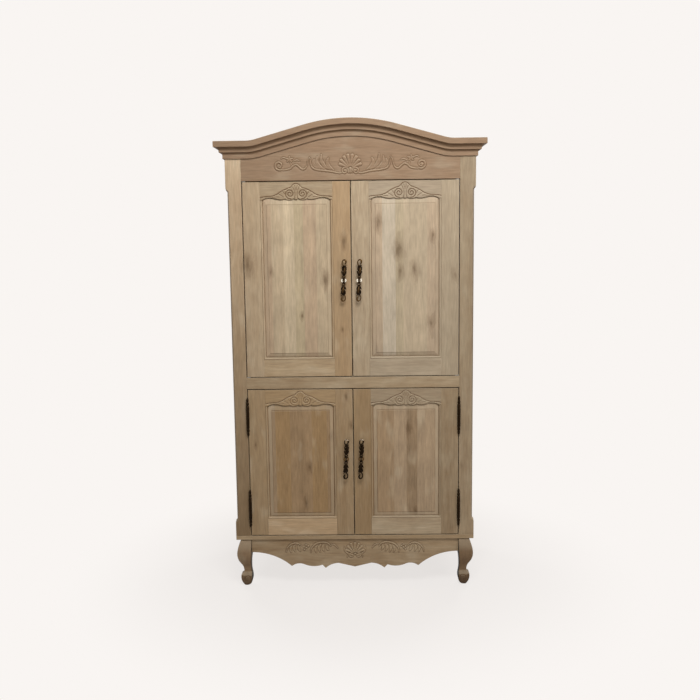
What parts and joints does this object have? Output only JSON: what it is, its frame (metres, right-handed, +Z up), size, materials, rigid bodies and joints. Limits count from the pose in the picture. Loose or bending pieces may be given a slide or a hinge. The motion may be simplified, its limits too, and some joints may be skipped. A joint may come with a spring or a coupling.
{
  "type": "television armoire",
  "caption": "Tall carved wooden armoire for a television: pocket doors above, hinged cupboard doors below, arched crown and scalloped apron on cabriole legs.",
  "frame": {"origin": "on the floor, below the middle of the cabinet's box", "axes": "+X to the right seen from the front, +Y to the back, +Z up"},
  "size_m": [1.248, 0.658, 2.239],
  "materials": {
    "washed_wood": "matte washed knotty hardwood",
    "case_wood": "sanded, unfinished",
    "back_plywood": "plain plywood",
    "dark_iron": "dark bronzed casting, rubbed on the high spots",
    "slide_steel": "zinc plated",
    "catch_plastic": "brown moulded plastic"
  },
  "bodies": {
    "cabinet": {"left_front_post": "washed_wood", "right_front_post": "washed_wood", "left_side_frame": "washed_wood", "right_side_frame": "washed_wood", "left_upper_side_panel": "washed_wood", "right_upper_side_panel": "washed_wood", "left_lower_side_panel": "washed_wood", "right_lower_side_panel": "washed_wood", "frieze_board": "washed_wood", "crown_front": "washed_wood", "crown_left": "washed_wood", "crown_right": "washed_wood", "bottom_board": "washed_wood", "tv_deck": "case_wood", "top_board": "case_wood", "back_panel": "back_plywood", "back_screws": "slide_steel", "mid_rail": "washed_wood", "lower_shelf": "case_wood", "shelf_pins": "slide_steel", "front_apron": "washed_wood", "left_apron": "washed_wood", "right_apron": "washed_wood", "rear_rail": "case_wood", "front_left_leg": "washed_wood", "front_right_leg": "washed_wood", "rear_left_leg": "washed_wood", "rear_right_leg": "washed_wood", "pocket_channels": "slide_steel", "hinge_frame_halves": "dark_iron", "magnetic_catches": "catch_plastic"},
    "upper_left_carriage": {"upper_left_carriage": "slide_steel"},
    "upper_right_carriage": {"upper_right_carriage": "slide_steel"},
    "upper_left_door": {"upper_left_hinge_stile": "washed_wood", "upper_left_lock_stile": "washed_wood", "upper_left_top_rail": "washed_wood", "upper_left_bottom_rail": "washed_wood", "upper_left_panel": "washed_wood", "upper_left_pull": "dark_iron"},
    "upper_right_door": {"upper_right_hinge_stile": "washed_wood", "upper_right_lock_stile": "washed_wood", "upper_right_top_rail": "washed_wood", "upper_right_bottom_rail": "washed_wood", "upper_right_panel": "washed_wood", "upper_right_pull": "dark_iron"},
    "lower_left_door": {"lower_left_hinge_stile": "washed_wood", "lower_left_lock_stile": "washed_wood", "lower_left_top_rail": "washed_wood", "lower_left_bottom_rail": "washed_wood", "lower_left_panel": "washed_wood", "lower_left_pull": "dark_iron", "lower_left_hinge_halves": "dark_iron"},
    "lower_right_door": {"lower_right_hinge_stile": "washed_wood", "lower_right_lock_stile": "washed_wood", "lower_right_top_rail": "washed_wood", "lower_right_bottom_rail": "washed_wood", "lower_right_panel": "washed_wood", "lower_right_pull": "dark_iron", "lower_right_hinge_halves": "dark_iron"}
  },
  "joints": [
    {"name": "upper_left_pocket", "type": "slide", "parent": "cabinet", "child": "upper_left_carriage", "axis": [0, 1, 0], "range_m": [0, 0.425]},
    {"name": "upper_left_swing", "type": "hinge", "parent": "upper_left_carriage", "child": "upper_left_door", "pos_m": [-0.4935, -0.275, 1.503], "axis": [0, 0, -1], "range_deg": [0, 90]},
    {"name": "upper_right_pocket", "type": "slide", "parent": "cabinet", "child": "upper_right_carriage", "axis": [0, 1, 0], "range_m": [0, 0.425]},
    {"name": "upper_right_swing", "type": "hinge", "parent": "upper_right_carriage", "child": "upper_right_door", "pos_m": [0.4935, -0.275, 1.503], "axis": [0, 0, 1], "range_deg": [0, 90]},
    {"name": "lower_left_swing", "type": "hinge", "parent": "cabinet", "child": "lower_left_door", "pos_m": [-0.50425, -0.292, 0.624], "axis": [0, 0, -1], "range_deg": [0, 170]},
    {"name": "lower_right_swing", "type": "hinge", "parent": "cabinet", "child": "lower_right_door", "pos_m": [0.50425, -0.292, 0.624], "axis": [0, 0, 1], "range_deg": [0, 170]}
  ]
}
